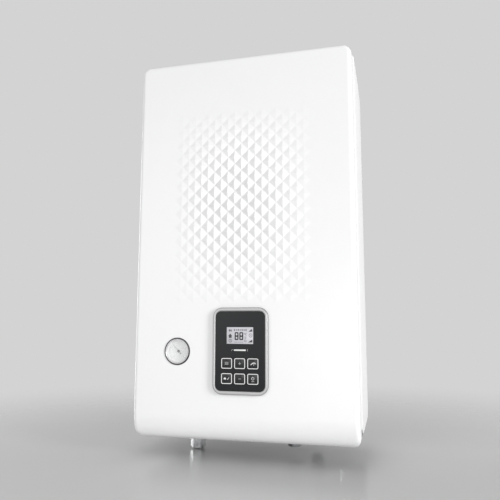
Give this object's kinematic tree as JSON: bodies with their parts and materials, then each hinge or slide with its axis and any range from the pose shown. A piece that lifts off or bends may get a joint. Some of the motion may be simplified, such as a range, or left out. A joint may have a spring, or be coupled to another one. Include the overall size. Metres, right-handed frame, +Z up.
{
  "type": "electric boiler",
  "caption": "Tall white wall-hung electric heating boiler with a faceted pyramid relief, rounded lower edge, dark key panel, round gauge and pipe connections underneath.",
  "frame": {"origin": "centre of the wall bracket's rear face, in the plane of the wall", "axes": "+X to the right as seen by a person facing the boiler, +Y into the wall, +Z up; the front faces -Y"},
  "size_m": [0.384, 0.241, 0.696],
  "materials": {
    "white_enamel": "satin powder coat",
    "grey_enamel": "grey powder coat",
    "red_enamel": "red paint",
    "zinc_steel": "galvanised",
    "stainless": "brushed",
    "silver_trim": "silver painted",
    "dark_glass": "gloss",
    "key_black": "gloss",
    "display_grey": "display window",
    "black_plastic": "matt",
    "grey_plastic": "matt",
    "cream_plastic": "matt",
    "red_plastic": "matt",
    "board_green": "circuit board",
    "winding_yellow": "taped winding",
    "gauge_steel": "polished",
    "gauge_face": "white print",
    "lens_glass": "clear",
    "chrome": "polished",
    "brass": "machined",
    "copper": "copper tube",
    "cast_grey": "painted casting",
    "element_sheath": "annealed",
    "rubber_black": "matt"
  },
  "bodies": {
    "chassis": {"wall_bracket": "zinc_steel", "back_plate": "zinc_steel", "casing": "white_enamel", "bottom_tray": "grey_enamel", "cross_rail": "zinc_steel", "tank": "stainless", "element_flange": "brass", "heating_element_1": "element_sheath", "heating_element_2": "element_sheath", "heating_element_3": "element_sheath", "tank_strap_lower": "zinc_steel", "tank_strap_upper": "zinc_steel", "thermal_cutout": "black_plastic", "air_vent": "brass", "vessel_rear_half": "red_enamel", "vessel_front_half": "red_enamel", "vessel_membrane": "rubber_black", "pump_housing": "cast_grey", "pump_motor": "black_plastic", "supply_pipe": "copper", "flow_pipe": "copper", "flow_switch": "black_plastic", "return_pipe": "chrome", "return_nut": "chrome", "inlet_pipe": "chrome", "supply_valve": "chrome", "fill_valve": "brass", "relief_valve": "brass", "cable_gland": "black_plastic", "board_carrier": "zinc_steel", "control_board": "board_green", "transformer": "winding_yellow", "contactor": "grey_plastic", "terminal_block": "cream_plastic", "gauge_case": "black_plastic", "gauge_dial": "gauge_face", "gauge_lens": "lens_glass", "gauge_bezel": "gauge_steel", "gauge_tube": "copper"},
    "cover": {"front_cover": "white_enamel", "control_bezel": "silver_trim", "panel_face": "dark_glass", "panel_housing": "grey_plastic", "display_board": "board_green", "lcd_display": "display_grey", "status_light": "display_grey", "cover_screw_left": "zinc_steel", "cover_screw_right": "zinc_steel"},
    "heating_key": {"key_heating": "key_black"},
    "plus_key": {"key_plus": "key_black"},
    "hot_water_key": {"key_hot_water": "key_black"},
    "mode_key": {"key_mode": "key_black"},
    "minus_key": {"key_minus": "key_black"},
    "power_key": {"key_power": "key_black"},
    "needle": {"gauge_needle": "black_plastic"},
    "rotor": {"pump_rotor": "stainless"},
    "relief_handle": {"relief_knob": "red_plastic"},
    "fill_handle": {"fill_knob": "black_plastic"},
    "supply_handle": {"supply_lever": "chrome"},
    "vent_cap": {"air_vent_cap": "black_plastic"}
  },
  "joints": [
    {"name": "cover_pull", "type": "slide", "parent": "chassis", "child": "cover", "axis": [0, -1, 0], "range_m": [0, 0.26]},
    {"name": "heating_key_press", "type": "slide", "parent": "cover", "child": "heating_key", "axis": [0, 1, 0], "range_m": [0, 0.0008], "stiffness_N_per_m": 400},
    {"name": "plus_key_press", "type": "slide", "parent": "cover", "child": "plus_key", "axis": [0, 1, 0], "range_m": [0, 0.0008], "stiffness_N_per_m": 400},
    {"name": "hot_water_key_press", "type": "slide", "parent": "cover", "child": "hot_water_key", "axis": [0, 1, 0], "range_m": [0, 0.0008], "stiffness_N_per_m": 400},
    {"name": "mode_key_press", "type": "slide", "parent": "cover", "child": "mode_key", "axis": [0, 1, 0], "range_m": [0, 0.0008], "stiffness_N_per_m": 400},
    {"name": "minus_key_press", "type": "slide", "parent": "cover", "child": "minus_key", "axis": [0, 1, 0], "range_m": [0, 0.0008], "stiffness_N_per_m": 400},
    {"name": "power_key_press", "type": "slide", "parent": "cover", "child": "power_key", "axis": [0, 1, 0], "range_m": [0, 0.0008], "stiffness_N_per_m": 400},
    {"name": "needle_turn", "type": "hinge", "parent": "chassis", "child": "needle", "pos_m": [-0.1111, -0.228, -0.4253], "axis": [0, 1, 0], "range_deg": [-93, 177], "stiffness_Nm_per_rad": 0.0005},
    {"name": "rotor_spin", "type": "hinge", "parent": "chassis", "child": "rotor", "pos_m": [0.068, -0.14, -0.437], "axis": [0, 1, 0], "continuous": true},
    {"name": "relief_turn", "type": "hinge", "parent": "chassis", "child": "relief_handle", "pos_m": [0.145, -0.115, -0.41], "axis": [0, 0, 1], "range_deg": [0, 90]},
    {"name": "fill_turn", "type": "hinge", "parent": "chassis", "child": "fill_handle", "pos_m": [-0.078, -0.115, -0.573], "axis": [0, 0, 1], "range_deg": [0, 360]},
    {"name": "supply_lever_turn", "type": "hinge", "parent": "chassis", "child": "supply_handle", "pos_m": [-0.1136, -0.098, -0.58], "axis": [0, -1, 0], "range_deg": [0, 90]},
    {"name": "vent_cap_turn", "type": "hinge", "parent": "chassis", "child": "vent_cap", "pos_m": [-0.1136, -0.115, 0.035], "axis": [0, 0, 1], "range_deg": [0, 360]}
  ]
}
